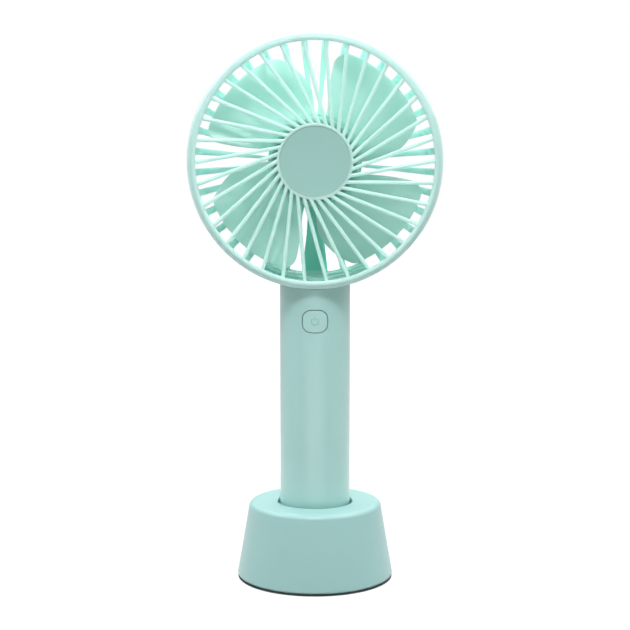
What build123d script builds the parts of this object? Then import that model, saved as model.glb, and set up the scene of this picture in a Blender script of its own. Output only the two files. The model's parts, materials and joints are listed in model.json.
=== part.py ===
from build123d import *
import os
from math import atan, cos, radians, sin, sqrt, tan

# Handheld electric fan standing in its round desk base.
# Millimetres. +Z is up, the fan blows towards -Y, +X is the right-hand side seen from the front.
# The origin is the centre of the base's underside. Angles round the fan head are clock angles:
# degrees from the top, turning clockwise as seen from the front.

# ---------------------------------------------------------------- driving dimensions

# Clearances
running_clearance = 0.3  # between pieces that move past each other
seat_clearance = 0.15  # between fixed pieces that slip into one another
bearing_clearance = 0.03  # radial, shaft in its bushings
press_clearance = 0.02  # radial, shaft in the impeller and bushings in the motor

# Screws: one small pan-head size everywhere
screw_radius = 1.0
screw_head_radius = 1.9
screw_head_height = 1.2
screw_hole_clearance = 0.05
screw_tip_room = 0.5
screw_boss_wall = 1.55
recess_length = 2.4
recess_width = 0.5
recess_depth = 0.6

# Desk base
base_foot_diameter = 65.0
base_top_diameter = 54.5
base_height = 31.7
base_wall = 2.2
base_edge_radius = 2.4
base_foot_radius = 0.8
foot_pad_thickness = 0.8
foot_pad_inset = 0.3
base_plate_thickness = 2.4
base_screw_count = 3
base_screw_circle = 22.6
base_screw_length = 8.0
socket_clearance = 1.0
socket_wall = 1.8
socket_floor_thickness = 1.6
socket_floor_height = 8.0
socket_mouth_radius = 0.6

# Handle
handle_diameter = 29.0
handle_wall = 1.8
cap_flange = 1.6
cap_plug_height = 2.2
cap_wall = 1.6
cap_edge_radius = 1.0
lower_screw_rise = 4.0  # lower screw's centre above the cap's plug
lower_screw_seat = 8.0
lower_screw_length = 16.0
neck_screw_spacing = 13.0
neck_screw_drop = 4.4  # neck screws' centre below the foot of the head
neck_screw_seat = 10.2
neck_screw_length = 18.6
saddle_clearance = 0.3

# Neck of the rear housing, gripped between the handle shells
neck_width = 18.0
neck_front = -3.1
neck_back = 8.0
neck_length = 12.5
lead_window_width = 5.2
lead_window_height = 5.0

# Battery and boards
battery_diameter = 18.4
battery_length = 65.0
battery_gap = 1.4  # above and below the cell's tabs
tab_radius = 4.0
tab_thickness = 0.3
board_thickness = 1.2
charge_board_width = 16.0
charge_board_height = 21.6
charge_board_back = 7.2
charge_board_gap = 0.85
control_board_width = 13.0
control_board_rise = 5.5  # above the button's centre
control_board_drop = 10.0  # below the button's centre
control_board_front = -7.2
board_post_radius = 1.2
board_post_inset = 1.8

# Charging port and its two lights, on the back of the handle
port_drop = 4.4  # port centre below the charge board's top
port_width = 7.6
port_height = 2.7
port_corner_radius = 0.8
port_metal = 0.3
port_length = 5.8
port_clearance = 0.3
port_land_width = 11.0
port_land_height = 6.6
port_tongue_width = 4.6
port_tongue_height = 0.7
port_block_length = 2.2
light_radius = 0.9
light_spacing = 13.2

# Power button
button_drop = 13.2  # button centre below the foot of the head
button_width = 10.0
button_height = 8.9
button_corner_radius = 3.4
button_gap = 0.25
button_proud = 0.15
button_travel = 0.4
button_flange = 1.2
button_flange_thickness = 1.0
button_flange_front = -10.6
switch_width = 4.6
switch_height = 1.5
switch_floor = 0.3
plunger_radius = 1.2
plunger_clearance = 0.1

# Fan head
head_diameter = 102.0
head_depth = 35.0

# Front grille
bezel_width = 3.3
bezel_thickness = 1.8
bezel_land_width = 1.8
bezel_step = 0.5
bezel_outer_radius = 1.2
bezel_inner_radius = 0.5
skirt_wall = 1.0
skirt_depth = 5.2
rib_count = 34
rib_first_angle = 0.6
rib_width = 1.5
rib_depth = 2.4
rib_offset = 8.0  # each rib's centre line passes this far from the head's axis
rib_setback = 0.4
rib_edge_radius = 0.6
rib_bite = 0.2
grille_hub_diameter = 30.6
grille_hub_depth = 3.4
hub_rim_width = 1.2
hub_rim_radius = 0.5
disc_thickness = 1.4
disc_recess = 0.12
disc_clearance = 0.05
lug_count = 4
lug_arc = 6.0
lug_thickness = 1.0
lug_height = 0.8
lug_play = 0.5  # degrees, each end of a lug in its groove
lug_first_angle = 45.0
twist_angle = 12.0

# Rear housing
rim_wall = 1.4
collar_depth = 2.2
slat_count = 36
slat_first_angle = 5.0
slat_arc = 3.4
slat_step = 0.2  # slats and closed wall stand back from the rim's bore
slat_front_thickness = 2.1
slat_back_thickness = 1.4
back_rib_depth = 2.2
back_corner_radius = 6.0
closed_slats = 6  # slats at the bottom that join into one closed wall
ledge_depth = 8.0
ledge_height = 0.8
wall_lip = 0.5  # how far the closed wall turns in across the back
motor_cup_wall = 1.7
motor_cup_depth = 14.3
back_plate_diameter = 39.4
back_plate_radius = 1.0
strut_depth = 8.5
strut_foot_width = 9.2
strut_top_width = 5.0
lead_channel_width = 4.0
lead_channel_height = 2.2

# Impeller
blade_count = 4
blade_tip_radius = 45.0
blade_thickness = 1.3
blade_mid_angle = 45.5  # of the first blade, which the twist is centred on
blade_front_tip_angle = 11.4  # bowed front edge: at the tip, halfway and at the hub
blade_front_mid_angle = 11.0
blade_front_mid_radius = 31.0
blade_front_root_angle = 17.2
blade_back_tip_angle = 68.9  # rounded back edge, likewise
blade_back_mid_angle = 82.0
blade_back_mid_radius = 35.0
blade_back_root_angle = 94.4
blade_advance = 9.5  # axial advance of the blade surface for each radian of turn
blade_camber = 1.2
blade_mid_depth = -3.8
blade_front_corner_radius = 5.5
blade_back_corner_radius = 4.0
blade_sheet_spread = 0.6  # growth of the uncut sheet's half width with radius
hub_diameter = 36.0
hub_front_gap = 3.4  # between the grille's hub and the impeller
hub_length = 16.2
hub_wall = 1.5
hub_edge_radius = 2.0
hub_boss_radius = 3.2
hub_boss_length = 6.4

# Motor
motor_diameter = 24.0
motor_length = 11.5
motor_front = 0.0
end_cap_diameter = 23.2
end_cap_thickness = 1.5
shaft_radius = 1.0
bushing_radius = 2.5
bushing_length = 3.0
motor_screw_spacing = 15.0
motor_screw_length = 8.0
motor_boss_radius = 2.4

# Leads
lead_radius = 0.6
motor_lead_spacing = 2.0
motor_lead_start = 6.0  # below the head's axis
charge_lead_spacing = 12.4

# ---------------------------------------------------------------- derived sizes

handle_radius = handle_diameter / 2
handle_bore = handle_radius - handle_wall
screw_boss_radius = screw_radius + screw_boss_wall
screw_hole_radius = screw_radius + screw_hole_clearance
screw_head_hole = screw_head_radius + screw_hole_clearance

# Heights, stacked from the socket floor up
handle_bottom = socket_floor_height
shell_bottom = handle_bottom + cap_flange
lower_screw_z = shell_bottom + cap_plug_height + lower_screw_rise
charge_board_bottom = lower_screw_z + screw_boss_radius + charge_board_gap
charge_board_top = charge_board_bottom + charge_board_height
port_z = charge_board_top - port_drop
battery_bottom = charge_board_top + battery_gap + tab_thickness
battery_top = battery_bottom + battery_length
neck_bottom = battery_top + tab_thickness + battery_gap
head_foot = neck_bottom + neck_length
button_z = head_foot - button_drop
neck_screw_z = head_foot - neck_screw_drop

head_radius = head_diameter / 2
head_z = head_foot + head_radius
head_front = -head_depth / 2
head_back = head_depth / 2

battery_y = handle_bore - 2 * seat_clearance - battery_diameter / 2

# Depths through the head, front to back
bezel_back = head_front + bezel_thickness
skirt_back = head_front + skirt_depth
rim_front = bezel_back + running_clearance
collar_front = skirt_back + running_clearance
collar_back = collar_front + collar_depth
back_inside = head_back - back_rib_depth
rib_front = head_front + rib_setback
hub_face = rib_front + grille_hub_depth
impeller_front = hub_face + hub_front_gap
impeller_back = impeller_front + hub_length
motor_back = motor_front + motor_length
end_cap_back = motor_back + end_cap_thickness
cup_front = back_inside - motor_cup_depth
strut_front = head_back - strut_depth

# Radii of the head
skirt_inner = head_radius - skirt_wall
bezel_inner = head_radius - bezel_width
rim_outer = skirt_inner - running_clearance
rim_inner = rim_outer - rim_wall
groove_floor = skirt_inner - lug_height - running_clearance
slat_inner = rim_inner + slat_step
slat_outer_front = slat_inner + slat_front_thickness
slat_outer_back = slat_inner + slat_back_thickness
cup_inner = motor_diameter / 2 + 2 * seat_clearance
cup_outer = cup_inner + motor_cup_wall
grille_hub_radius = grille_hub_diameter / 2
recess_radius = grille_hub_radius - hub_rim_width
rib_start = sqrt(recess_radius**2 - rib_offset**2)
rib_end = sqrt((bezel_inner + rib_bite) ** 2 - rib_offset**2)
hub_radius = hub_diameter / 2
back_plate_r = back_plate_diameter / 2

slat_pitch = 360 / slat_count
slat_angles = [slat_first_angle + slat_pitch * i for i in range(slat_count)]
closed_arc = (closed_slats - 1) * slat_pitch + slat_arc

lug_middle = (rim_front + collar_front) / 2
lug_angles = [lug_first_angle + 360 / lug_count * i for i in range(lug_count)]

head_axis = Axis((0, 0, head_z), (0, 1, 0))

# ---------------------------------------------------------------- helpers


def front_plane(y, x=0.0, z=head_z):
    """Plane at depth y that faces the front (-Y): local x is X and local y is Z."""
    return Plane(origin=(x, y, z), x_dir=(1, 0, 0), z_dir=(0, -1, 0))


def back_facing(y, x=0.0, z=head_z):
    """Plane at depth y that faces the back (+Y)."""
    return Plane(origin=(x, y, z), x_dir=(1, 0, 0), z_dir=(0, 1, 0))


def clock(angle, radius=1.0):
    """(X, Z) offset from the head's axis at a clock angle."""
    return radius * sin(radians(angle)), radius * cos(radians(angle))


def radial_plane(angle):
    """Half-section plane of the head at a clock angle: local x is the radius, local y is Y."""
    u, w = clock(angle)
    return Plane(origin=(0, 0, head_z), x_dir=(u, 0, w), z_dir=(-w, 0, u))


def rib_plane(angle):
    """Cross-section of a front rib at its hub end, facing along the rib: local x is Y."""
    along, across = clock(angle), clock(angle + 90)
    x = rib_start * along[0] + rib_offset * across[0]
    z = rib_start * along[1] + rib_offset * across[1]
    return Plane(
        origin=(x, rib_front + rib_depth / 2, head_z + z),
        x_dir=(0, 1, 0),
        z_dir=(along[0], 0, along[1]),
    )


def screw(seat, length):
    """Pan-head screw: the seat plane lies under the head and faces along the shank."""
    with BuildPart() as piece:
        with BuildSketch(seat):
            Circle(screw_head_radius)
        extrude(amount=-screw_head_height)
        with BuildSketch(seat):
            Circle(screw_radius)
        extrude(amount=length)
        with BuildSketch(seat.offset(-screw_head_height)):
            Rectangle(recess_length, recess_width)
            Rectangle(recess_width, recess_length)
        extrude(amount=recess_depth, mode=Mode.SUBTRACT)
    return piece.part


def lead(x, route):
    """Round lead in the plane at X = x along (Y, Z) points, with its bends as wide as they fit."""
    points = [Vector(*point) for point in route]
    radii = []
    for before, corner, after in zip(points, points[1:], points[2:]):
        turn = (corner - before).get_angle(after - corner)
        shorter = min((corner - before).length, (after - corner).length)
        radii.append(0.45 * shorter / tan(radians(turn / 2)))
    with BuildPart() as wire:
        with BuildLine(Plane.YZ.offset(x)) as path:
            FilletPolyline(*route, radius=radii)
        with BuildSketch(Plane(origin=path.line @ 0, z_dir=path.line % 0)):
            Circle(lead_radius)
        sweep()
    return wire.part


def handle_tube():
    """Tube that both handle shells are halves of, with its top cut to the head's curve."""
    with BuildPart() as tube:
        with BuildSketch(Plane.XY.offset(shell_bottom)):
            Circle(handle_radius)
            Circle(handle_bore, mode=Mode.SUBTRACT)
        extrude(amount=head_z - shell_bottom)
        with BuildSketch(front_plane(-handle_diameter)):
            Circle(head_radius + saddle_clearance)
        extrude(amount=-2 * handle_diameter, mode=Mode.SUBTRACT)
    return tube.part


# ---------------------------------------------------------------- desk base

foot_radius = base_foot_diameter / 2
top_radius = base_top_diameter / 2
socket_radius = handle_radius + socket_clearance
tube_radius = socket_radius + socket_wall
flare = (foot_radius - top_radius) / (base_height - foot_pad_thickness)
base_ceiling = base_height - base_wall
plate_top = foot_pad_thickness + base_plate_thickness
side_wall = base_wall / cos(atan(flare))


def cone_radius(z):
    """Outside radius of the base's tapered side at height z."""
    return foot_radius - flare * (z - foot_pad_thickness)


with BuildPart() as base_shell:
    with BuildSketch(Plane.XZ):
        with BuildLine():
            Polyline(
                (foot_radius, foot_pad_thickness),
                (top_radius, base_height),
                (socket_radius, base_height),
                (socket_radius, socket_floor_height),
                (0, socket_floor_height),
                (0, socket_floor_height - socket_floor_thickness),
                (tube_radius, socket_floor_height - socket_floor_thickness),
                (tube_radius, base_ceiling),
                (cone_radius(base_ceiling) - side_wall, base_ceiling),
                (foot_radius - side_wall, foot_pad_thickness),
                close=True,
            )
        make_face()
        rim_corners = vertices().group_by(Axis.Y)[-1].sort_by(Axis.X)
        fillet(rim_corners[-1], radius=base_edge_radius)
        fillet(vertices().group_by(Axis.Y)[-1].sort_by(Axis.X)[0], radius=socket_mouth_radius)
        fillet(vertices().group_by(Axis.Y)[0].sort_by(Axis.X)[-1], radius=base_foot_radius)
    revolve(axis=Axis.Z)
    with BuildSketch(Plane.XY.offset(plate_top)):
        with PolarLocations(base_screw_circle, base_screw_count, start_angle=90):
            Circle(screw_boss_radius)
    extrude(amount=base_height - base_wall / 2 - plate_top)
    with BuildSketch(Plane.XY.offset(plate_top)):
        with PolarLocations(base_screw_circle, base_screw_count, start_angle=90):
            Circle(screw_hole_radius)
    extrude(amount=base_screw_length, mode=Mode.SUBTRACT)

base_screw_seat = foot_pad_thickness + screw_head_height
with BuildPart() as base_bottom_plate:
    with BuildSketch(Plane.XY.offset(foot_pad_thickness)):
        Circle(cone_radius(plate_top) - side_wall - seat_clearance)
    extrude(amount=base_plate_thickness)
    with Locations(Plane.XY.offset(plate_top)):
        with PolarLocations(base_screw_circle, base_screw_count, start_angle=90):
            Hole(screw_hole_radius)
    with BuildSketch(Plane.XY.offset(foot_pad_thickness)):
        with PolarLocations(base_screw_circle, base_screw_count, start_angle=90):
            Circle(screw_head_hole)
    extrude(amount=screw_head_height, mode=Mode.SUBTRACT)

with BuildPart() as base_screws:
    for place in PolarLocations(base_screw_circle, base_screw_count, start_angle=90):
        seat = Plane.XY.offset(base_screw_seat).move(place)
        add(screw(seat, base_screw_length))

with BuildPart() as foot_pad:
    with BuildSketch():
        Circle(foot_radius - foot_pad_inset)
    extrude(amount=foot_pad_thickness)

# ---------------------------------------------------------------- handle

with BuildPart() as bottom_cap:
    with BuildSketch(Plane.XY.offset(handle_bottom)):
        Circle(handle_radius)
    extrude(amount=cap_flange)
    fillet(edges().group_by(Axis.Z)[0], radius=cap_edge_radius)
    with BuildSketch(Plane.XY.offset(shell_bottom)):
        Circle(handle_bore - seat_clearance)
        Circle(handle_bore - seat_clearance - cap_wall, mode=Mode.SUBTRACT)
    extrude(amount=cap_plug_height)

half_neck = neck_screw_spacing / 2
button_hole_width = button_width + 2 * button_gap
button_hole_height = button_height + 2 * button_gap
control_board_bottom = button_z - control_board_drop
control_board_top = button_z + control_board_rise
control_post_z = control_board_bottom + board_post_inset
control_post_x = control_board_width / 2 - board_post_inset
charge_post_z = charge_board_bottom + board_post_inset
charge_post_x = charge_board_width / 2 - board_post_inset
lower_screw_tip = lower_screw_seat - lower_screw_length
neck_screw_tip = neck_screw_seat - neck_screw_length

with BuildPart() as handle_front_shell:
    add(handle_tube())
    split(bisect_by=Plane.XZ, keep=Keep.TOP)
    # Screw bosses reach back to the joint plane and to the neck
    with BuildSketch(front_plane(0, z=lower_screw_z)):
        Circle(screw_boss_radius)
    extrude(amount=handle_bore + handle_wall / 2)
    with BuildSketch(front_plane(neck_front, z=neck_screw_z)):
        with GridLocations(neck_screw_spacing, 0, 2, 1):
            Circle(screw_boss_radius)
    extrude(amount=sqrt(handle_bore**2 - half_neck**2) + neck_front)
    # Two posts carry the control board
    with BuildSketch(front_plane(control_board_front, z=control_post_z)):
        with GridLocations(2 * control_post_x, 0, 2, 1):
            Circle(board_post_radius)
    extrude(amount=sqrt(handle_bore**2 - control_post_x**2) + control_board_front)
    # Screw holes stay blind
    with BuildSketch(front_plane(0, z=lower_screw_z)):
        Circle(screw_hole_radius)
    extrude(amount=screw_tip_room - lower_screw_tip, mode=Mode.SUBTRACT)
    with BuildSketch(front_plane(0, z=neck_screw_z)):
        with GridLocations(neck_screw_spacing, 0, 2, 1):
            Circle(screw_hole_radius)
    extrude(amount=screw_tip_room - neck_screw_tip, mode=Mode.SUBTRACT)
    with BuildSketch(front_plane(-handle_bore / 2, z=button_z)):
        RectangleRounded(button_hole_width, button_hole_height, button_corner_radius + button_gap)
    extrude(amount=handle_radius, mode=Mode.SUBTRACT)

port_mouth = charge_board_back + port_length
with BuildPart() as handle_rear_shell:
    add(handle_tube())
    split(bisect_by=Plane.XZ, keep=Keep.BOTTOM)
    with BuildSketch(back_facing(0, z=lower_screw_z)):
        Circle(screw_boss_radius)
    extrude(amount=handle_bore + handle_wall / 2)
    with BuildSketch(back_facing(neck_back, z=neck_screw_z)):
        with GridLocations(neck_screw_spacing, 0, 2, 1):
            Circle(screw_boss_radius)
    extrude(amount=sqrt(handle_bore**2 - half_neck**2) + handle_wall / 2 - neck_back)
    with BuildSketch(back_facing(charge_board_back, z=charge_post_z)):
        with GridLocations(2 * charge_post_x, 0, 2, 1):
            Circle(board_post_radius)
    extrude(amount=sqrt(handle_bore**2 - charge_post_x**2) - charge_board_back)
    # Screw holes, each with a recess for its head
    with BuildSketch(back_facing(0, z=lower_screw_z)):
        Circle(screw_hole_radius)
    extrude(amount=handle_radius, mode=Mode.SUBTRACT)
    with BuildSketch(back_facing(lower_screw_seat, z=lower_screw_z)):
        Circle(screw_head_hole)
    extrude(amount=handle_radius, mode=Mode.SUBTRACT)
    with BuildSketch(back_facing(0, z=neck_screw_z)):
        with GridLocations(neck_screw_spacing, 0, 2, 1):
            Circle(screw_hole_radius)
    extrude(amount=handle_radius, mode=Mode.SUBTRACT)
    with BuildSketch(back_facing(neck_screw_seat, z=neck_screw_z)):
        with GridLocations(neck_screw_spacing, 0, 2, 1):
            Circle(screw_head_hole)
    extrude(amount=handle_radius, mode=Mode.SUBTRACT)
    # Charging port: a flat land round it, the port's own opening, and the two lights
    with BuildSketch(back_facing(port_mouth + port_clearance, z=port_z)):
        SlotOverall(port_land_width, port_land_height)
    extrude(amount=handle_radius, mode=Mode.SUBTRACT)
    with BuildSketch(back_facing(handle_bore / 2, z=port_z)):
        RectangleRounded(
            port_width + 2 * port_clearance,
            port_height + 2 * port_clearance,
            port_corner_radius + port_clearance,
        )
        with GridLocations(light_spacing, 0, 2, 1):
            Circle(light_radius + seat_clearance)
    extrude(amount=handle_radius, mode=Mode.SUBTRACT)

with BuildPart() as handle_screws:
    add(screw(front_plane(lower_screw_seat, z=lower_screw_z), lower_screw_length))
    for x in (-half_neck, half_neck):
        add(screw(front_plane(neck_screw_seat, x=x, z=neck_screw_z), neck_screw_length))

# ---------------------------------------------------------------- power button and control board

with BuildPart() as power_button:
    with BuildSketch(front_plane(button_flange_front, z=button_z)):
        RectangleRounded(button_width, button_height, button_corner_radius)
    extrude(amount=handle_radius)
    with BuildSketch(Plane.XY.offset(button_z - button_height)):
        Circle(handle_radius + button_proud)
    extrude(amount=2 * button_height, mode=Mode.INTERSECT)
    with BuildSketch(front_plane(button_flange_front, z=button_z)):
        RectangleRounded(
            button_width + 2 * button_flange,
            button_height + 2 * button_flange,
            button_corner_radius,
        )
    extrude(amount=-button_flange_thickness)

button_back = button_flange_front + button_flange_thickness
switch_front = control_board_front - switch_height
plunger_back = control_board_front - switch_floor - button_travel - plunger_clearance
with BuildPart() as switch_plunger:
    with BuildSketch(front_plane(button_back, z=button_z)):
        Circle(plunger_radius)
    extrude(amount=button_back - plunger_back)

with BuildPart() as tact_switch:
    with BuildSketch(front_plane(switch_front, z=button_z)):
        Rectangle(switch_width, switch_width)
    extrude(amount=-switch_height)
    with BuildSketch(front_plane(switch_front, z=button_z)):
        Circle(plunger_radius + plunger_clearance)
    extrude(amount=switch_floor - switch_height, mode=Mode.SUBTRACT)

with BuildPart() as control_board:
    board_mid = (control_board_bottom + control_board_top) / 2
    with BuildSketch(front_plane(control_board_front, z=board_mid)):
        Rectangle(control_board_width, control_board_top - control_board_bottom)
    extrude(amount=-board_thickness)

# ---------------------------------------------------------------- charging board, port and battery

charge_board_front = charge_board_back - board_thickness
with BuildPart() as charge_board:
    board_mid = (charge_board_bottom + charge_board_top) / 2
    with BuildSketch(front_plane(charge_board_front, z=board_mid)):
        Rectangle(charge_board_width, charge_board_height)
    extrude(amount=-board_thickness)

port_inner_width = port_width - 2 * port_metal
port_inner_height = port_height - 2 * port_metal
with BuildPart() as usb_port:
    with BuildSketch(back_facing(charge_board_back, z=port_z)):
        RectangleRounded(port_width, port_height, port_corner_radius)
        RectangleRounded(
            port_inner_width,
            port_inner_height,
            port_corner_radius - port_metal,
            mode=Mode.SUBTRACT,
        )
    extrude(amount=port_length)

with BuildPart() as usb_insert:
    with BuildSketch(back_facing(charge_board_back, z=port_z)):
        Rectangle(
            port_inner_width - 2 * port_corner_radius,
            port_inner_height - seat_clearance,
        )
    extrude(amount=port_block_length)
    with BuildSketch(back_facing(charge_board_back, z=port_z)):
        Rectangle(port_tongue_width, port_tongue_height)
    extrude(amount=port_length - port_metal)

with BuildPart() as charge_lights:
    with BuildSketch(back_facing(charge_board_back, z=port_z)):
        with GridLocations(light_spacing, 0, 2, 1):
            Circle(light_radius)
    extrude(amount=handle_radius)
    with BuildSketch(Plane.XY.offset(port_z - handle_radius)):
        Circle(handle_radius)
    extrude(amount=handle_diameter, mode=Mode.INTERSECT)

with BuildPart() as battery_cell:
    with BuildSketch(Plane((0, battery_y, battery_bottom))):
        Circle(battery_diameter / 2)
    extrude(amount=battery_length)
    fillet(edges().filter_by(GeomType.CIRCLE), radius=cap_edge_radius)

with BuildPart() as battery_tabs:
    with BuildSketch(
        Plane((0, battery_y, battery_bottom - tab_thickness)),
        Plane((0, battery_y, battery_top)),
    ):
        Circle(tab_radius)
    extrude(amount=tab_thickness)

# ---------------------------------------------------------------- leads

motor_lead_y = end_cap_back + lead_radius + running_clearance
motor_lead_route = [
    (motor_lead_y, head_z - motor_lead_start),
    (handle_bore - 2.5 * lead_radius, head_foot + 1.0),
    (neck_back + 3 * lead_radius, neck_bottom + lead_window_height - 3 * lead_radius),
    (control_board_front + board_thickness + seat_clearance, neck_bottom + 3 * lead_radius),
]
charge_lead_y = control_board_front + board_thickness + lead_radius + seat_clearance
charge_lead_landing = charge_board_bottom + charge_board_height / 2
charge_lead_route = [
    (charge_lead_y, control_board_bottom + 2 * lead_radius),
    (charge_lead_y, charge_lead_landing),
    (charge_board_front - seat_clearance, charge_lead_landing),
]

motor_lead_red = lead(motor_lead_spacing / 2, motor_lead_route)
motor_lead_black = lead(-motor_lead_spacing / 2, motor_lead_route)
charge_lead_red = lead(charge_lead_spacing / 2, charge_lead_route)
charge_lead_black = lead(-charge_lead_spacing / 2, charge_lead_route)

# ---------------------------------------------------------------- motor

with BuildPart() as motor_can:
    with BuildSketch(front_plane(motor_front)):
        Circle(motor_diameter / 2)
    extrude(amount=-motor_length)
    fillet(edges().group_by(Axis.Y)[0], radius=cap_edge_radius)
    with BuildSketch(front_plane(motor_front)):
        Circle(shaft_radius + running_clearance)
    extrude(amount=-motor_length, mode=Mode.SUBTRACT)
    with BuildSketch(front_plane(motor_front)):
        Circle(bushing_radius + press_clearance)
    extrude(amount=-bushing_length / 2, mode=Mode.SUBTRACT)
    with BuildSketch(back_facing(motor_back - motor_screw_length / 2)):
        with GridLocations(motor_screw_spacing, 0, 2, 1):
            Circle(screw_hole_radius)
    extrude(amount=motor_length, mode=Mode.SUBTRACT)

with BuildPart() as motor_end_cap:
    with BuildSketch(front_plane(motor_back)):
        Circle(end_cap_diameter / 2)
    extrude(amount=-end_cap_thickness)
    with BuildSketch(front_plane(motor_back)):
        with GridLocations(motor_screw_spacing, 0, 2, 1):
            Circle(screw_hole_radius + seat_clearance)
        with Locations((0, 0)):
            Circle(bushing_radius + press_clearance)
    extrude(amount=-end_cap_thickness, mode=Mode.SUBTRACT)

with BuildPart() as motor_bushings:
    with BuildSketch(
        front_plane(motor_front - bushing_length / 2),
        front_plane(end_cap_back - bushing_length / 2),
    ):
        Circle(bushing_radius)
        Circle(shaft_radius + bearing_clearance, mode=Mode.SUBTRACT)
    extrude(amount=-bushing_length / 2)

shaft_front = impeller_front + hub_wall + press_clearance
with BuildPart() as motor_shaft:
    with BuildSketch(front_plane(shaft_front)):
        Circle(shaft_radius)
    extrude(amount=shaft_front - end_cap_back)

# ---------------------------------------------------------------- impeller

# One blade round the origin: +Z is its middle radius, +X is clockwise, Y is depth.
# Its twisted sheet leans further at the root than at the tip, and is cut to the outline.
root_radius = hub_radius - hub_wall / 2
sheet_bottom = root_radius * cos(radians(blade_back_root_angle - blade_mid_angle)) - blade_thickness / 2
sheet_top = blade_tip_radius + 2 * blade_thickness


def blade_point(angle, radius):
    """Outline point of the first blade at a clock angle and radius, turned to the blade's frame."""
    return clock(angle - blade_mid_angle, radius)


with BuildPart() as blade:
    for station in (sheet_bottom, (sheet_bottom + sheet_top) / 2, sheet_top):
        half = root_radius / 2 + blade_sheet_spread * station
        lean = blade_advance / station
        with BuildSketch(Plane(origin=(0, 0, station), x_dir=(1, lean, 0))):
            with BuildLine():
                front_side = ThreePointArc((-half, 0), (0, blade_camber), (half, 0))
                back_side = ThreePointArc(
                    (-half, blade_thickness), (0, blade_camber + blade_thickness), (half, blade_thickness)
                )
                Line(front_side @ 0, back_side @ 0)
                Line(front_side @ 1, back_side @ 1)
            make_face()
    loft()
    # Outline: bowed front edge, tip arc, rounded back edge, flush with the hub's back
    with BuildSketch(Plane.XZ.offset(blade_mid_depth - impeller_back)):
        with BuildLine():
            ThreePointArc(
                blade_point(blade_front_root_angle, root_radius),
                blade_point(blade_front_mid_angle, blade_front_mid_radius),
                blade_point(blade_front_tip_angle, blade_tip_radius),
            )
            ThreePointArc(
                blade_point(blade_front_tip_angle, blade_tip_radius),
                blade_point((blade_front_tip_angle + blade_back_tip_angle) / 2, blade_tip_radius),
                blade_point(blade_back_tip_angle, blade_tip_radius),
            )
            ThreePointArc(
                blade_point(blade_back_tip_angle, blade_tip_radius),
                blade_point(blade_back_mid_angle, blade_back_mid_radius),
                blade_point(blade_back_root_angle, root_radius),
            )
            ThreePointArc(
                blade_point(blade_back_root_angle, root_radius),
                blade_point((blade_front_root_angle + blade_back_root_angle) / 2, root_radius),
                blade_point(blade_front_root_angle, root_radius),
            )
        make_face()
        back_corner = vertices().sort_by_distance(blade_point(blade_back_tip_angle, blade_tip_radius))[0]
        fillet(back_corner, radius=blade_back_corner_radius)
        front_corner = vertices().sort_by_distance(blade_point(blade_front_tip_angle, blade_tip_radius))[0]
        fillet(front_corner, radius=blade_front_corner_radius)
    extrude(amount=2 * blade_tip_radius, mode=Mode.INTERSECT)

with BuildPart() as impeller:
    with BuildSketch(radial_plane(90)):
        with BuildLine():
            Polyline(
                (0, impeller_front),
                (hub_radius, impeller_front),
                (hub_radius, impeller_back),
                (hub_radius - hub_wall, impeller_back),
                (hub_radius - hub_wall, impeller_front + hub_wall),
                (hub_boss_radius, impeller_front + hub_wall),
                (hub_boss_radius, impeller_front + hub_wall + hub_boss_length),
                (0, impeller_front + hub_wall + hub_boss_length),
                close=True,
            )
        make_face()
        fillet(vertices().group_by(Axis.Y)[0].sort_by(Axis.X)[-1], radius=hub_edge_radius)
    revolve(axis=head_axis)
    for i in range(blade_count):
        turn = blade_mid_angle + 360 / blade_count * i
        add(blade.part.rotate(Axis.Y, turn).translate((0, blade_mid_depth, head_z)))
    with BuildSketch(back_facing(shaft_front - press_clearance)):
        Circle(shaft_radius + press_clearance)
    extrude(amount=hub_length, mode=Mode.SUBTRACT)

# ---------------------------------------------------------------- front grille

with BuildPart() as front_grille:
    # Bezel ring, a raised land inside a rounded band, with the skirt that slips over the rim
    band_front = head_front + bezel_step
    with BuildSketch(radial_plane(90)):
        with BuildLine():
            Polyline(
                (bezel_inner, head_front),
                (bezel_inner + bezel_land_width, head_front),
                (bezel_inner + bezel_land_width, band_front),
                (head_radius, band_front),
                (head_radius, skirt_back),
                (skirt_inner, skirt_back),
                (skirt_inner, bezel_back),
                (bezel_inner, bezel_back),
                close=True,
            )
        make_face()
        fillet(vertices().sort_by_distance((head_radius, band_front))[0], radius=bezel_outer_radius)
        fillet(vertices().sort_by_distance((bezel_inner, head_front))[0], radius=bezel_inner_radius)
    revolve(axis=head_axis)
    # Bayonet lugs inside the skirt
    with BuildSketch(*[radial_plane(angle - lug_arc / 2) for angle in lug_angles]):
        with Locations((skirt_inner + skirt_wall / 2, lug_middle)):
            Rectangle(lug_height + skirt_wall / 2, lug_thickness, align=(Align.MAX, Align.CENTER))
    revolve(axis=head_axis, revolution_arc=lug_arc)
    # Hub, rounded at its front edge
    with BuildSketch(radial_plane(90)):
        with Locations((0, rib_front)):
            Rectangle(grille_hub_radius, grille_hub_depth, align=Align.MIN)
        fillet(vertices().sort_by_distance((grille_hub_radius, rib_front))[0], radius=hub_rim_radius)
    revolve(axis=head_axis)
    # Skewed ribs from the hub to the bezel
    rib_angles = [rib_first_angle + 360 / rib_count * i for i in range(rib_count)]
    with BuildSketch(*[rib_plane(angle + 90) for angle in rib_angles]):
        Rectangle(rib_depth, rib_width)
        fillet(vertices().group_by(Axis.X)[0], radius=rib_edge_radius)
    extrude(amount=rib_end - rib_start)
    # Recess for the centre disc, inside a thin rim
    with BuildSketch(front_plane(rib_front)):
        Circle(recess_radius)
    extrude(amount=-disc_thickness - disc_recess, mode=Mode.SUBTRACT)

with BuildPart() as grille_centre_disc:
    with BuildSketch(front_plane(rib_front + disc_recess)):
        Circle(recess_radius - disc_clearance)
    extrude(amount=-disc_thickness)

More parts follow.
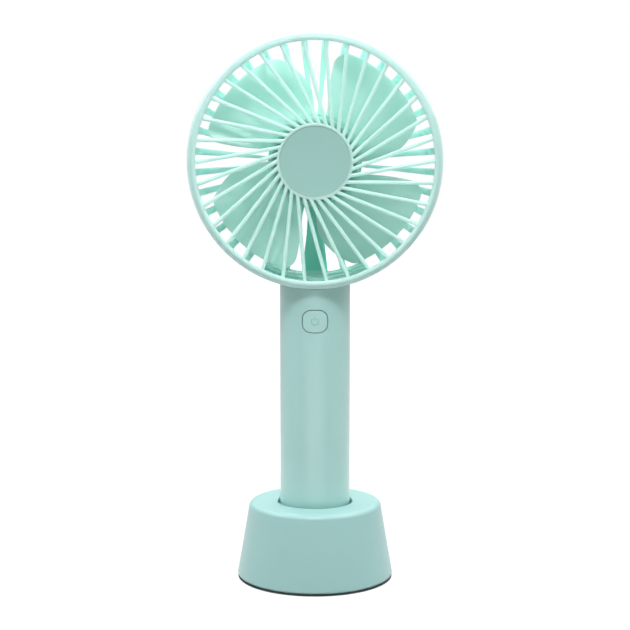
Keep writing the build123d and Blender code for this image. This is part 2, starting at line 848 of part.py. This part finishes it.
# ---------------------------------------------------------------- rear housing

with BuildPart() as neck:
    # Pad that closes the handle's top: the handle's outline between two circles of the head
    with BuildSketch(Plane.XY.offset(head_foot - handle_radius)):
        Circle(handle_radius)
    extrude(amount=2 * handle_diameter)
    with BuildSketch(front_plane(collar_front)):
        Circle(head_radius)
        Circle(slat_inner + ledge_height, mode=Mode.SUBTRACT)
    extrude(amount=collar_front - handle_radius, mode=Mode.INTERSECT)
    # Tongue that the handle shells grip
    with BuildSketch(Plane.XY.offset(neck_bottom)):
        with Locations((0, neck_front)):
            Rectangle(neck_width, neck_back - neck_front, align=(Align.CENTER, Align.MIN))
    extrude(amount=neck_length + head_radius - rim_outer)
    with BuildSketch(front_plane(neck_front, z=neck_screw_z)):
        with GridLocations(neck_screw_spacing, 0, 2, 1):
            Circle(screw_hole_radius)
    extrude(amount=neck_front - neck_back, mode=Mode.SUBTRACT)
    with BuildSketch(front_plane(neck_front, z=neck_bottom)):
        Rectangle(lead_window_width, 2 * lead_window_height)
    extrude(amount=neck_front - neck_back, mode=Mode.SUBTRACT)

slat_start = (collar_front + collar_back) / 2
rib_reach = back_plate_r - back_plate_radius
closed_start = 180 - closed_arc / 2
wall_inner = slat_inner - 2 * ledge_height
wall_return = slat_outer_back - back_corner_radius - back_plate_radius
open_slats = [angle for angle in slat_angles if abs(angle - 180) > closed_arc / 2]
walled_ribs = [angle for angle in slat_angles if abs(angle - 180) < closed_arc / 2]

with BuildPart() as rear_housing:
    # Rim that the grille's skirt slips over, and the collar behind it
    with BuildSketch(radial_plane(90)):
        with BuildLine():
            Polyline(
                (rim_inner, rim_front),
                (rim_outer, rim_front),
                (rim_outer, collar_front),
                (head_radius, collar_front),
                (head_radius, collar_back),
                (rim_inner, collar_back),
                close=True,
            )
        make_face()
    revolve(axis=head_axis)
    # Open slats: along the side, round the corner and in across the back
    with BuildSketch(*[radial_plane(angle - slat_arc / 2) for angle in open_slats]):
        with BuildLine():
            Polyline(
                (slat_inner, slat_start),
                (slat_outer_front, slat_start),
                (slat_outer_back, head_back),
                (rib_reach, head_back),
                (rib_reach, back_inside),
                (slat_inner, back_inside),
                close=True,
            )
        make_face()
        fillet(vertices().sort_by_distance((slat_outer_back, head_back))[0], radius=back_corner_radius)
        fillet(
            vertices().sort_by_distance((slat_inner, back_inside))[0],
            radius=back_corner_radius - back_rib_depth,
        )
    revolve(axis=head_axis, revolution_arc=slat_arc)
    # Closed wall over the neck, stepped inside
    with BuildSketch(radial_plane(closed_start)):
        with BuildLine():
            Polyline(
                (slat_inner, slat_start),
                (slat_outer_front, slat_start),
                (slat_outer_back, head_back),
                (wall_return, head_back),
                (wall_return, back_inside),
                (wall_inner, back_inside),
                (wall_inner, back_inside - ledge_depth),
                (slat_inner - ledge_height, back_inside - ledge_depth),
                (slat_inner - ledge_height, back_inside - 2 * ledge_depth),
                (slat_inner, back_inside - 2 * ledge_depth),
                close=True,
            )
        make_face()
        fillet(vertices().sort_by_distance((slat_outer_back, head_back))[0], radius=back_corner_radius)
    revolve(axis=head_axis, revolution_arc=closed_arc)
    # Windows that leave the wall a lip, and plain ribs between them
    with BuildSketch(*[radial_plane(angle + slat_arc / 2) for angle in walled_ribs[:-1]]):
        with Locations((rib_reach, back_inside)):
            Rectangle(wall_inner - wall_lip - rib_reach, back_rib_depth, align=Align.MIN)
    revolve(axis=head_axis, revolution_arc=slat_pitch - slat_arc, mode=Mode.SUBTRACT)
    with BuildSketch(*[radial_plane(angle - slat_arc / 2) for angle in walled_ribs]):
        with Locations((rib_reach, back_inside)):
            Rectangle(wall_return + back_plate_radius - rib_reach, back_rib_depth, align=Align.MIN)
    revolve(axis=head_axis, revolution_arc=slat_arc)
    # Back plate and motor cup
    with BuildSketch(radial_plane(90)):
        with BuildLine():
            Polyline(
                (0, head_back),
                (back_plate_r, head_back),
                (back_plate_r, back_inside),
                (cup_outer, back_inside),
                (cup_outer, cup_front),
                (cup_inner, cup_front),
                (cup_inner, back_inside),
                (0, back_inside),
                close=True,
            )
        make_face()
        fillet(vertices().group_by(Axis.Y)[-1].sort_by(Axis.X)[-1], radius=back_plate_radius)
    revolve(axis=head_axis)
    # Spacers that seat the motor
    with BuildSketch(front_plane(end_cap_back)):
        with GridLocations(motor_screw_spacing, 0, 2, 1):
            Circle(motor_boss_radius)
    extrude(amount=end_cap_back - head_back + back_rib_depth / 2)
    # Strut that carries the motor cup from the neck and holds the leads
    strut_foot = slat_inner + slat_back_thickness / 2
    strut_top = (cup_inner + cup_outer) / 2
    with BuildSketch(front_plane(strut_front)):
        with BuildLine():
            Polyline(
                (-strut_foot_width / 2, -strut_foot),
                (strut_foot_width / 2, -strut_foot),
                (strut_top_width / 2, -strut_top),
                (-strut_top_width / 2, -strut_top),
                close=True,
            )
        make_face()
    extrude(amount=-strut_depth + back_plate_radius)
    add(neck.part)
    # Channel for the leads, from the motor cup down through the strut and the neck's pad
    lead_top = Vector(0, *motor_lead_route[0])
    lead_foot = Vector(0, *motor_lead_route[1])
    with BuildSketch(Plane(origin=lead_top, x_dir=(1, 0, 0), z_dir=lead_foot - lead_top)):
        Rectangle(lead_channel_width, lead_channel_height)
    extrude(amount=(lead_foot - lead_top).length + socket_clearance, mode=Mode.SUBTRACT)
    # Bayonet grooves, each with an entry from the front
    groove_width = lug_thickness + 2 * running_clearance
    groove_arc = lug_arc + twist_angle + 2 * lug_play
    entry_arc = lug_arc + 2 * lug_play
    with BuildSketch(*[radial_plane(a - lug_arc / 2 - twist_angle - lug_play) for a in lug_angles]):
        with Locations((groove_floor, lug_middle)):
            Rectangle(head_radius, groove_width, align=(Align.MIN, Align.CENTER))
    revolve(axis=head_axis, revolution_arc=groove_arc, mode=Mode.SUBTRACT)
    with BuildSketch(*[radial_plane(a - lug_arc / 2 - twist_angle - lug_play) for a in lug_angles]):
        with Locations((groove_floor, lug_middle)):
            Rectangle(head_radius, head_depth, align=(Align.MIN, Align.MAX))
    revolve(axis=head_axis, revolution_arc=entry_arc, mode=Mode.SUBTRACT)
    # Motor screw holes with recessed heads
    motor_screw_seat = head_back - screw_head_height
    with BuildSketch(back_facing(end_cap_back)):
        with GridLocations(motor_screw_spacing, 0, 2, 1):
            Circle(screw_hole_radius)
    extrude(amount=head_depth, mode=Mode.SUBTRACT)
    with BuildSketch(back_facing(motor_screw_seat)):
        with GridLocations(motor_screw_spacing, 0, 2, 1):
            Circle(screw_head_hole)
    extrude(amount=head_depth, mode=Mode.SUBTRACT)

with BuildPart() as motor_screws:
    for x in (-motor_screw_spacing / 2, motor_screw_spacing / 2):
        add(screw(front_plane(motor_screw_seat, x=x), motor_screw_length))

# ---------------------------------------------------------------- files

pieces = {
    "front_grille": front_grille.part,
    "grille_centre_disc": grille_centre_disc.part,
    "impeller": impeller.part,
    "motor_shaft": motor_shaft.part,
    "motor_bushings": motor_bushings.part,
    "motor_can": motor_can.part,
    "motor_end_cap": motor_end_cap.part,
    "motor_screws": motor_screws.part,
    "rear_housing": rear_housing.part,
    "handle_front_shell": handle_front_shell.part,
    "handle_rear_shell": handle_rear_shell.part,
    "handle_screws": handle_screws.part,
    "bottom_cap": bottom_cap.part,
    "power_button": power_button.part,
    "switch_plunger": switch_plunger.part,
    "tact_switch": tact_switch.part,
    "control_board": control_board.part,
    "charge_board": charge_board.part,
    "usb_port": usb_port.part,
    "usb_insert": usb_insert.part,
    "charge_lights": charge_lights.part,
    "battery_cell": battery_cell.part,
    "battery_tabs": battery_tabs.part,
    "motor_lead_red": motor_lead_red,
    "motor_lead_black": motor_lead_black,
    "charge_lead_red": charge_lead_red,
    "charge_lead_black": charge_lead_black,
    "base_shell": base_shell.part,
    "base_bottom_plate": base_bottom_plate.part,
    "base_screws": base_screws.part,
    "foot_pad": foot_pad.part,
}
os.makedirs("parts", exist_ok=True)
for name, piece in pieces.items():
    piece.label = name
    export_step(piece, f"parts/{name}.step")
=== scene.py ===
import json
from math import cos, pi, radians, sin, sqrt

import bmesh
import bpy
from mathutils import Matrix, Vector

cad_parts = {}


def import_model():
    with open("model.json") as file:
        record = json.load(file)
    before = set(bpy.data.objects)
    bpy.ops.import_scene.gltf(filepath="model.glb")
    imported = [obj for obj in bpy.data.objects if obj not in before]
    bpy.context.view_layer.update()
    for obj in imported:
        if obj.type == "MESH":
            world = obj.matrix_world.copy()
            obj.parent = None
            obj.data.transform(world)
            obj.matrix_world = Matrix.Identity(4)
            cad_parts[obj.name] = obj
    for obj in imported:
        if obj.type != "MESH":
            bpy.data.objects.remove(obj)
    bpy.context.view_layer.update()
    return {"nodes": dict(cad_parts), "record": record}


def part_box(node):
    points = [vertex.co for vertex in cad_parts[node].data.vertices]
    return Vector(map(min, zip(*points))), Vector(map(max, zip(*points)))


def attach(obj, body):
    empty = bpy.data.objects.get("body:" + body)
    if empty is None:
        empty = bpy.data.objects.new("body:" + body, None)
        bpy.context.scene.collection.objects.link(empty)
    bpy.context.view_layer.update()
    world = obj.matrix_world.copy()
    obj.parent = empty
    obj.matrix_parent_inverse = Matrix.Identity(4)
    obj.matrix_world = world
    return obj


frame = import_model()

# Handheld electric fan in its desk base. Metres, +Z up, the fan faces -Y.
# Colours are linear RGB. A FADE is the pair of places where a change starts and ends.

MM = 0.001

# ---------------------------------------------------------------- places taken from the frame

ring_low, ring_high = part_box("front_grille")
head_centre = (ring_low + ring_high) / 2
head_radius = (ring_high.x - ring_low.x) / 2
disc_low, disc_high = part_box("grille_centre_disc")
disc_radius = (disc_high.x - disc_low.x) / 2

# ---------------------------------------------------------------- colours

HANDLE_MINT = (0.405, 0.685, 0.65)
RIB_MINT = (0.59, 0.97, 0.86)
# Painted shade: a darker band in the grille's ring, standing in for the shaded groove of its
# rounded bezel.
RING_PAINTED_SHADE = (0.57, 0.92, 0.85)
HOUSING_MINT = (0.58, 0.94, 0.85)
BLADE_MINT = (0.61, 0.90, 0.82)
# Painted shade: a dark green for the impeller's hub, standing in for the shadow behind the
# grille's hub.
HUB_PAINTED_SHADE = (0.25, 0.55, 0.48)
# Painted shade: a darker, deeper green for the housing's strut and back plate.
STRUT_AND_PLATE_SHADE = (0.29, 0.78, 0.66)
DISC_MINT = (0.335, 0.595, 0.544)
BASE_MINT = (0.372, 0.642, 0.624)
FOOT_BLACK = (0.028, 0.042, 0.045)
ZINC = (0.60, 0.60, 0.59)
DRAWN_STEEL = (0.50, 0.50, 0.49)
BRONZE = (0.45, 0.30, 0.14)
NICKEL = (0.62, 0.60, 0.56)
PLASTIC_BLACK = (0.02, 0.02, 0.021)
BOARD_GREEN = (0.015, 0.12, 0.05)
WRAP_BLUE = (0.04, 0.13, 0.42)
MILKY_CLEAR = (0.75, 0.78, 0.76)
LEAD_RED = (0.42, 0.012, 0.01)
LEAD_BLACK = (0.012, 0.012, 0.012)
FLOOR_WHITE = (0.36, 0.36, 0.36)

# ---------------------------------------------------------------- finishes
# Noise scales are in cycles per metre. Shades multiply a colour.

FLOW_SCALE = 45.0
FLOW_SHADES = (0.965, 1.03)
GRAIN_SCALE = 1400.0
GRAIN_DEPTH = 0.01 * MM
GRAIN_ROUGHNESS = (-0.05, 0.06)
MOULDED_EDGE = 0.3 * MM
COAT_ROUGHNESS = 0.3
GLOW_REACH = 3 * MM

STREAK_SHADE = 0.85
STREAK_DEPTH = 0.005 * MM
STREAK_ROUGHNESS = (-0.08, 0.1)
METAL_EDGE = 0.1 * MM

# The ring at the grille's rim, measured inwards from its outer edge: where its rounder edges
# start, and a band of painted shade in it.
RING_START_FADE = (3.6 * MM, 3.0 * MM)
SHADE_BAND_START_FADE = (2.1 * MM, 1.5 * MM)
SHADE_BAND_END_FADE = (1.0 * MM, 0.5 * MM)
RIB_EDGE, RING_EDGE = 0.6 * MM, 1.5 * MM

# The rest of the head, measured from its axis: radii, and the strut's sides and top, which
# bound painted shade on the strut and back plate.
# Where the painted shade on the impeller's hub fades out.
HUB_SHADE_FADE = (16.0 * MM, 20.0 * MM)
BACK_PLATE_FADE = (19.5 * MM, 20.5 * MM)
STRUT_FOOT_FADE = (45.0 * MM, 46.0 * MM)
STRUT_SIDE_FADE = (5.0 * MM, 6.5 * MM)
STRUT_TOP_FADE = (-20.0 * MM, -12.0 * MM)
DISH_DEPTH = 0.5 * MM
DISH_GRAIN = 0.02        # share of the dish's depth

# ---------------------------------------------------------------- node helpers


class Surface:
    """A node material with one Principled shader, and short calls for what feeds it."""

    def __init__(self, name, **sockets):
        self.material = bpy.data.materials.new(name)
        self.material.use_nodes = True
        self.tree = self.material.node_tree
        self.shader = self.tree.nodes["Principled BSDF"]
        for socket, value in sockets.items():
            self.shader.inputs[socket.replace("_", " ")].default_value = value
        coords = self.node("ShaderNodeTexCoord")
        self.place = coords.outputs["Object"]
        self.color = None
        self.bevel = None

    def node(self, kind, **settings):
        made = self.tree.nodes.new(kind)
        for key, value in settings.items():
            setattr(made, key, value)
        return made

    def link(self, output, target):
        self.tree.links.new(output, target)

    def feed(self, output, socket):
        """Links an output to a socket of the shader."""
        self.link(output, self.shader.inputs[socket])

    def axes(self):
        """The X, Y and Z of a point on the object."""
        made = self.node("ShaderNodeSeparateXYZ")
        self.link(self.place, made.inputs[0])
        return made.outputs["X"], made.outputs["Y"], made.outputs["Z"]

    def noise(self, scale, detail=3.0, roughness=0.5):
        made = self.node("ShaderNodeTexNoise")
        made.inputs["Scale"].default_value = scale
        made.inputs["Detail"].default_value = detail
        made.inputs["Roughness"].default_value = roughness
        self.link(self.place, made.inputs["Vector"])
        return made.outputs["Fac"]

    def math(self, operation, first, second=0.0):
        made = self.node("ShaderNodeMath", operation=operation)
        for socket, value in zip(made.inputs, (first, second)):
            if isinstance(value, float):
                socket.default_value = value
            else:
                self.link(value, socket)
        return made.outputs["Value"]

    def spread(self, value, low, high, start=0.0, end=1.0):
        """Maps start to end of a value onto low to high, and holds it beyond them."""
        made = self.node("ShaderNodeMapRange")
        made.inputs["From Min"].default_value = start
        made.inputs["From Max"].default_value = end
        made.inputs["To Min"].default_value = low
        made.inputs["To Max"].default_value = high
        self.link(value, made.inputs["Value"])
        return made.outputs["Result"]

    def up(self, value, fade):
        """0 before a fade's start, 1 after its end."""
        return self.spread(value, 0.0, 1.0, *fade)

    def down(self, value, fade):
        """1 before a fade's start, 0 after its end."""
        return self.spread(value, 1.0, 0.0, *fade)

    def mix(self, factor, first, second):
        made = self.node("ShaderNodeMix", data_type="RGBA")
        self.link(factor, made.inputs["Factor"])
        for socket, color in ((made.inputs["A"], first), (made.inputs["B"], second)):
            if isinstance(color, tuple):
                socket.default_value = (*color, 1)
            else:
                self.link(color, socket)
        return made.outputs["Result"]

    def recolor(self, factor, color):
        """Mixes the plastic's own colour towards another by factor."""
        self.feed(self.mix(factor, self.color, color), "Base Color")

    def bump(self, height, distance, edge_radius=0.0):
        """Relief from a height, on edges that are shaded as if rounded."""
        made = self.node("ShaderNodeBump")
        made.inputs["Distance"].default_value = distance
        self.link(height, made.inputs["Height"])
        if edge_radius:
            self.bevel = self.node("ShaderNodeBevel", samples=4)
            self.bevel.inputs["Radius"].default_value = edge_radius
            self.link(self.bevel.outputs["Normal"], made.inputs["Normal"])
        self.feed(made.outputs["Normal"], "Normal")


def shaded(color, factor):
    return tuple(channel * factor for channel in color)


def moulded(name, color, roughness=0.34, edge=MOULDED_EDGE, grain=GRAIN_SCALE,
            depth=GRAIN_DEPTH, glow=0.0, coat=0.0):
    """Moulded plastic: faint flow marks in its colour, a fine grain and rounded edges."""
    surface = Surface(name, Roughness=roughness, Subsurface_Weight=glow,
                      Coat_Weight=coat, Coat_Roughness=COAT_ROUGHNESS)
    if glow:
        surface.shader.inputs["Subsurface Radius"].default_value = (1.0, 1.0, 1.0)
        surface.shader.inputs["Subsurface Scale"].default_value = GLOW_REACH
    flow = surface.noise(FLOW_SCALE)
    surface.color = surface.mix(flow, *(shaded(color, shade) for shade in FLOW_SHADES))
    surface.feed(surface.color, "Base Color")
    speckle = surface.noise(grain, detail=2.0)
    levels = [roughness + change for change in GRAIN_ROUGHNESS]
    surface.feed(surface.spread(speckle, *levels), "Roughness")
    surface.bump(speckle, depth, edge)
    return surface


def metal(name, color, roughness, streaks):
    """Plain drawn or plated metal with fine streaks in its colour and gloss."""
    surface = Surface(name, Metallic=1.0, Roughness=roughness)
    fine = surface.noise(streaks, detail=4.0)
    surface.feed(surface.mix(fine, shaded(color, STREAK_SHADE), color), "Base Color")
    levels = [roughness + change for change in STREAK_ROUGHNESS]
    surface.feed(surface.spread(fine, *levels), "Roughness")
    surface.bump(fine, STREAK_DEPTH, METAL_EDGE)
    return surface


def from_axis(surface):
    """Distance from the head's axis, distance to its right, and height above it."""
    across, _, height = surface.axes()
    above = surface.math("SUBTRACT", height, float(head_centre.z))
    squares = [surface.math("MULTIPLY", axis, axis) for axis in (across, above)]
    return surface.math("SQRT", surface.math("ADD", *squares)), across, above


def grille():
    """The grille's plastic: rounder in its thick ring than in its thin ribs, with a band of
    painted shade in the ring.
    """
    surface = moulded("grille_plastic", RIB_MINT, roughness=0.32, glow=0.7, coat=0.5)
    radius = from_axis(surface)[0]
    ring_start, shade_band_start, shade_band_end = (
        [head_radius - inwards for inwards in fade]
        for fade in (RING_START_FADE, SHADE_BAND_START_FADE, SHADE_BAND_END_FADE))
    rounding = surface.spread(radius, RIB_EDGE, RING_EDGE, *ring_start)
    surface.link(rounding, surface.bevel.inputs["Radius"])
    shade_band = surface.math("MULTIPLY", surface.up(radius, shade_band_start),
                         surface.down(radius, shade_band_end))
    # Painted shade: a band in the ring is mixed towards a darker mint.
    surface.recolor(shade_band, RING_PAINTED_SHADE)
    return surface


def housing():
    """The housing's plastic, with painted shade on its strut and back plate, which are darker
    than its slats.
    """
    surface = moulded("housing_plastic", HOUSING_MINT, roughness=0.32, glow=0.7)
    radius, across, above = from_axis(surface)
    near = surface.down(surface.math("ABSOLUTE", across), STRUT_SIDE_FADE)
    below = surface.down(above, STRUT_TOP_FADE)
    inside = surface.down(radius, STRUT_FOOT_FADE)
    strut = surface.math("MULTIPLY", surface.math("MULTIPLY", near, below), inside)
    plate = surface.down(radius, BACK_PLATE_FADE)
    # Painted shade: the strut and the back plate are mixed towards a darker green.
    surface.recolor(surface.math("MAXIMUM", strut, plate), STRUT_AND_PLATE_SHADE)
    return surface


def blades():
    """The impeller's plastic, with painted shade on its hub, which is darker than its thin
    blades.
    """
    surface = moulded("blade_plastic", BLADE_MINT, roughness=0.3, glow=0.75)
    radius = from_axis(surface)[0]
    # Painted shade: the hub is mixed towards a dark green.
    surface.recolor(surface.down(radius, HUB_SHADE_FADE), HUB_PAINTED_SHADE)
    return surface


def dished_disc():
    """The disc on the grille's hub, shaded as if it were dished a little."""
    surface = moulded("disc_plastic", DISC_MINT, roughness=0.5, edge=0.0)
    radius = from_axis(surface)[0]
    rim = surface.math("DIVIDE", radius, disc_radius)
    speckle = surface.math("MULTIPLY", surface.noise(GRAIN_SCALE, detail=2.0), DISH_GRAIN)
    dish = surface.math("ADD", surface.math("MULTIPLY", rim, rim), speckle)
    surface.bump(dish, DISH_DEPTH)
    return surface


# ---------------------------------------------------------------- materials

materials = {
    "handle_plastic": moulded("handle_plastic", HANDLE_MINT, roughness=0.3,
                              coat=1.0, glow=0.15),
    "grille_plastic": grille(),
    "housing_plastic": housing(),
    "blade_plastic": blades(),
    "disc_plastic": dished_disc(),
    "base_plastic": moulded("base_plastic", BASE_MINT, roughness=0.5, coat=0.6),
    "foot_rubber": moulded("foot_rubber", FOOT_BLACK, roughness=0.8,
                           grain=2500.0, depth=0.03 * MM),
    "steel": metal("steel", ZINC, roughness=0.3, streaks=900.0),
    "motor_steel": metal("motor_steel", DRAWN_STEEL, roughness=0.35, streaks=300.0),
    "bushing_bronze": metal("bushing_bronze", BRONZE, roughness=0.45, streaks=1500.0),
    "black_plastic": moulded("black_plastic", PLASTIC_BLACK, roughness=0.5),
    "board": moulded("board", BOARD_GREEN, roughness=0.35),
    "battery_wrap": moulded("battery_wrap", WRAP_BLUE, roughness=0.25),
    "nickel": metal("nickel", NICKEL, roughness=0.25, streaks=600.0),
    "light_pipe": moulded("light_pipe", MILKY_CLEAR, roughness=0.2),
    "red_insulation": moulded("red_insulation", LEAD_RED, roughness=0.5),
    "black_insulation": moulded("black_insulation", LEAD_BLACK, roughness=0.5),
}

for subpart in frame["record"]["subparts"]:
    node = frame["nodes"][subpart["node"]]
    node.data.materials.clear()
    node.data.materials.append(materials[subpart["material_slot"]].material)

# ---------------------------------------------------------------- mark on the power button

MARK_RADIUS = 1.5 * MM
MARK_GAP = radians(38)                # each side of the ring's top
MARK_BAR = (0.35 * MM, 1.85 * MM)     # its ends, above the ring's centre
MARK_SHADE = 0.82
RING_STEPS = 72
BAR_STEPS = 30

BEAD_HALF_WIDTH = 0.17 * MM
BEAD_HEIGHT = 0.12 * MM
BEAD_SIDES = 12
BEAD_TIP = 0.05                       # share of its width that is left at its ends


def bead(mesh, path):
    """A rounded bead along a path of points on the button's face, with rounded ends."""
    lengths = [0.0]
    for before, point in zip(path, path[1:]):
        lengths.append(lengths[-1] + (point - before).length)
    turns = [2 * pi * side / BEAD_SIDES for side in range(BEAD_SIDES)]
    rings = []
    for index, centre in enumerate(path):
        ahead, behind = path[min(index + 1, len(path) - 1)], path[max(index - 1, 0)]
        outward = Vector((centre.x, centre.y, 0)).normalized()
        sideways = outward.cross((ahead - behind).normalized())
        to_end = min(lengths[index], lengths[-1] - lengths[index], BEAD_HALF_WIDTH)
        taper = max(sqrt(1 - (1 - to_end / BEAD_HALF_WIDTH) ** 2), BEAD_TIP)
        width = sideways * BEAD_HALF_WIDTH * taper
        height = outward * BEAD_HEIGHT * taper
        rings.append([mesh.verts.new(centre + width * cos(turn) + height * sin(turn))
                      for turn in turns])
    for ring, following in zip(rings, rings[1:]):
        for side in range(BEAD_SIDES):
            after = (side + 1) % BEAD_SIDES
            mesh.faces.new((ring[side], ring[after], following[after], following[side]))
    mesh.faces.new(list(reversed(rings[0])))
    mesh.faces.new(rings[-1])


def power_mark():
    """Ring with a gap and a bar at its top, raised from the button's curved face."""
    low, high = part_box("power_button")
    face_radius = -low.y
    middle = (low.z + high.z) / 2

    def on_face(x, z):
        return Vector((x, -sqrt(face_radius ** 2 - x ** 2), middle + z))

    turns = [MARK_GAP + (2 * pi - 2 * MARK_GAP) * step / RING_STEPS
             for step in range(RING_STEPS + 1)]
    bar_low, bar_high = MARK_BAR
    heights = [bar_low + (bar_high - bar_low) * step / BAR_STEPS
               for step in range(BAR_STEPS + 1)]
    mesh = bmesh.new()
    bead(mesh, [on_face(MARK_RADIUS * sin(turn), MARK_RADIUS * cos(turn)) for turn in turns])
    bead(mesh, [on_face(0.0, height) for height in heights])
    bmesh.ops.recalc_face_normals(mesh, faces=mesh.faces)
    data = bpy.data.meshes.new("power_mark")
    mesh.to_mesh(data)
    mesh.free()
    data.shade_smooth()
    plastic = moulded("mark_plastic", shaded(HANDLE_MINT, MARK_SHADE), roughness=0.4, edge=0.0)
    data.materials.append(plastic.material)
    mark = bpy.data.objects.new("power_mark", data)
    bpy.context.scene.collection.objects.link(mark)
    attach(mark, "button")


power_mark()

# ---------------------------------------------------------------- floor, lights and camera

FLOOR_WIDTH = 6.0
FLOOR_CLOUD_SCALE = 3.0
FLOOR_CLOUD_SHADE = 0.98
# What the camera sees is lifted to white, less so near the object, where its shadow is.
LIFT_NEAR, LIFT_FAR = 0.6, 1.0
LIFT_FADE = (0.05, 0.5)
# In reflections the floor is white in front, and half as bright to the sides and behind.
MIRRORED_FRONT, MIRRORED_ELSEWHERE = 1.0, 0.5
MIRRORED_FADE = (radians(26), radians(40))

# The world is white to the camera, and lights the object more from behind than in front.
WORLD_FRONT, WORLD_BACK = 0.2, 0.4
WORLD_FADE = (-0.2, 0.6)
WORLD_SEEN = 1.0

# Soft lamps: name, place, what they are aimed at, width, height, watts. The front one is a
# strip on the table, which faces up and shows as the upright highlight on the handle.
LAMPS = (
    ("key_light", (0.0, -0.48, 0.84), (0, 0, 0.12), 0.34, 0.13, 4.1),
    ("left_light", (-0.6, -0.12, 0.7), (0, 0, 0.1), 0.5, 0.5, 3.6),
    ("right_light", (0.6, -0.12, 0.7), (0, 0, 0.1), 0.5, 0.5, 3.6),
    ("front_light", (0.0, -0.42, 0.004), (0.0, -0.41, 1.0), 0.3, 0.5, 0.42),
    ("back_light", (0.0, 0.14, 0.38), (0, 0, 0.16), 0.2, 0.15, 0.85),
)

# The camera stands level with the head's centre, in front of it, and looks down a little.
CAMERA_DISTANCE = 0.590
CAMERA_PITCH = radians(6.1)
CAMERA_LENS = 82.0
CAMERA_SENSOR = 36.0
CAMERA_CLIP = 0.01


def floor():
    bpy.ops.mesh.primitive_plane_add(size=FLOOR_WIDTH, location=(0, 0, 0))
    plane = bpy.context.object
    plane.name = "floor"
    surface = Surface("floor_white", Roughness=0.9, Specular_IOR_Level=0.0)
    cloud = surface.noise(FLOOR_CLOUD_SCALE)
    surface.feed(surface.mix(cloud, shaded(FLOOR_WHITE, FLOOR_CLOUD_SHADE), FLOOR_WHITE),
                 "Base Color")
    rays = surface.node("ShaderNodeLightPath")
    distance = surface.node("ShaderNodeVectorMath", operation="LENGTH")
    surface.link(surface.place, distance.inputs[0])
    lift = surface.spread(distance.outputs["Value"], LIFT_NEAR, LIFT_FAR, *LIFT_FADE)
    seen = surface.math("MULTIPLY", rays.outputs["Is Camera Ray"], lift)
    across, depth, _ = surface.axes()
    forward = surface.math("MULTIPLY", depth, -1.0)
    sideways = surface.math("ABSOLUTE", surface.math("ARCTAN2", across, forward))
    white = surface.spread(sideways, MIRRORED_FRONT, MIRRORED_ELSEWHERE, *MIRRORED_FADE)
    mirrored = surface.math("MULTIPLY", rays.outputs["Is Glossy Ray"], white)
    surface.shader.inputs["Emission Color"].default_value = (1, 1, 1, 1)
    surface.feed(surface.math("ADD", seen, mirrored), "Emission Strength")
    plane.data.materials.append(surface.material)


def world():
    studio = bpy.data.worlds.new("studio")
    bpy.context.scene.world = studio
    studio.use_nodes = True
    tree = studio.node_tree
    background = tree.nodes["Background"]
    background.inputs["Color"].default_value = (1, 1, 1, 1)
    coords = tree.nodes.new("ShaderNodeTexCoord")
    axes = tree.nodes.new("ShaderNodeSeparateXYZ")
    tree.links.new(coords.outputs["Generated"], axes.inputs[0])
    light = tree.nodes.new("ShaderNodeMapRange")
    light.inputs["From Min"].default_value, light.inputs["From Max"].default_value = WORLD_FADE
    light.inputs["To Min"].default_value = WORLD_FRONT
    light.inputs["To Max"].default_value = WORLD_BACK
    tree.links.new(axes.outputs["Y"], light.inputs["Value"])
    rays = tree.nodes.new("ShaderNodeLightPath")
    level = tree.nodes.new("ShaderNodeMapRange")
    level.inputs["To Max"].default_value = WORLD_SEEN
    tree.links.new(light.outputs["Result"], level.inputs["To Min"])
    tree.links.new(rays.outputs["Is Camera Ray"], level.inputs["Value"])
    tree.links.new(level.outputs["Result"], background.inputs["Strength"])


def softbox(name, place, aim, width, height, power):
    light = bpy.data.lights.new(name, "AREA")
    light.shape = "RECTANGLE"
    light.size = width
    light.size_y = height
    light.energy = power
    lamp = bpy.data.objects.new(name, light)
    bpy.context.scene.collection.objects.link(lamp)
    lamp.location = place
    lamp.rotation_mode = "QUATERNION"
    lamp.rotation_quaternion = (Vector(aim) - Vector(place)).to_track_quat("-Z", "Y")
    lamp.visible_camera = False


def camera():
    data = bpy.data.cameras.new("camera")
    data.sensor_width = CAMERA_SENSOR
    data.lens = CAMERA_LENS
    data.clip_start = CAMERA_CLIP
    eye = bpy.data.objects.new("camera", data)
    bpy.context.scene.collection.objects.link(eye)
    eye.location = (0, -CAMERA_DISTANCE, head_centre.z)
    eye.rotation_euler = (pi / 2 - CAMERA_PITCH, 0, 0)
    bpy.context.scene.camera = eye


floor()
world()
for lamp_row in LAMPS:
    softbox(*lamp_row)
camera()
bpy.context.scene.view_settings.view_transform = "Standard"
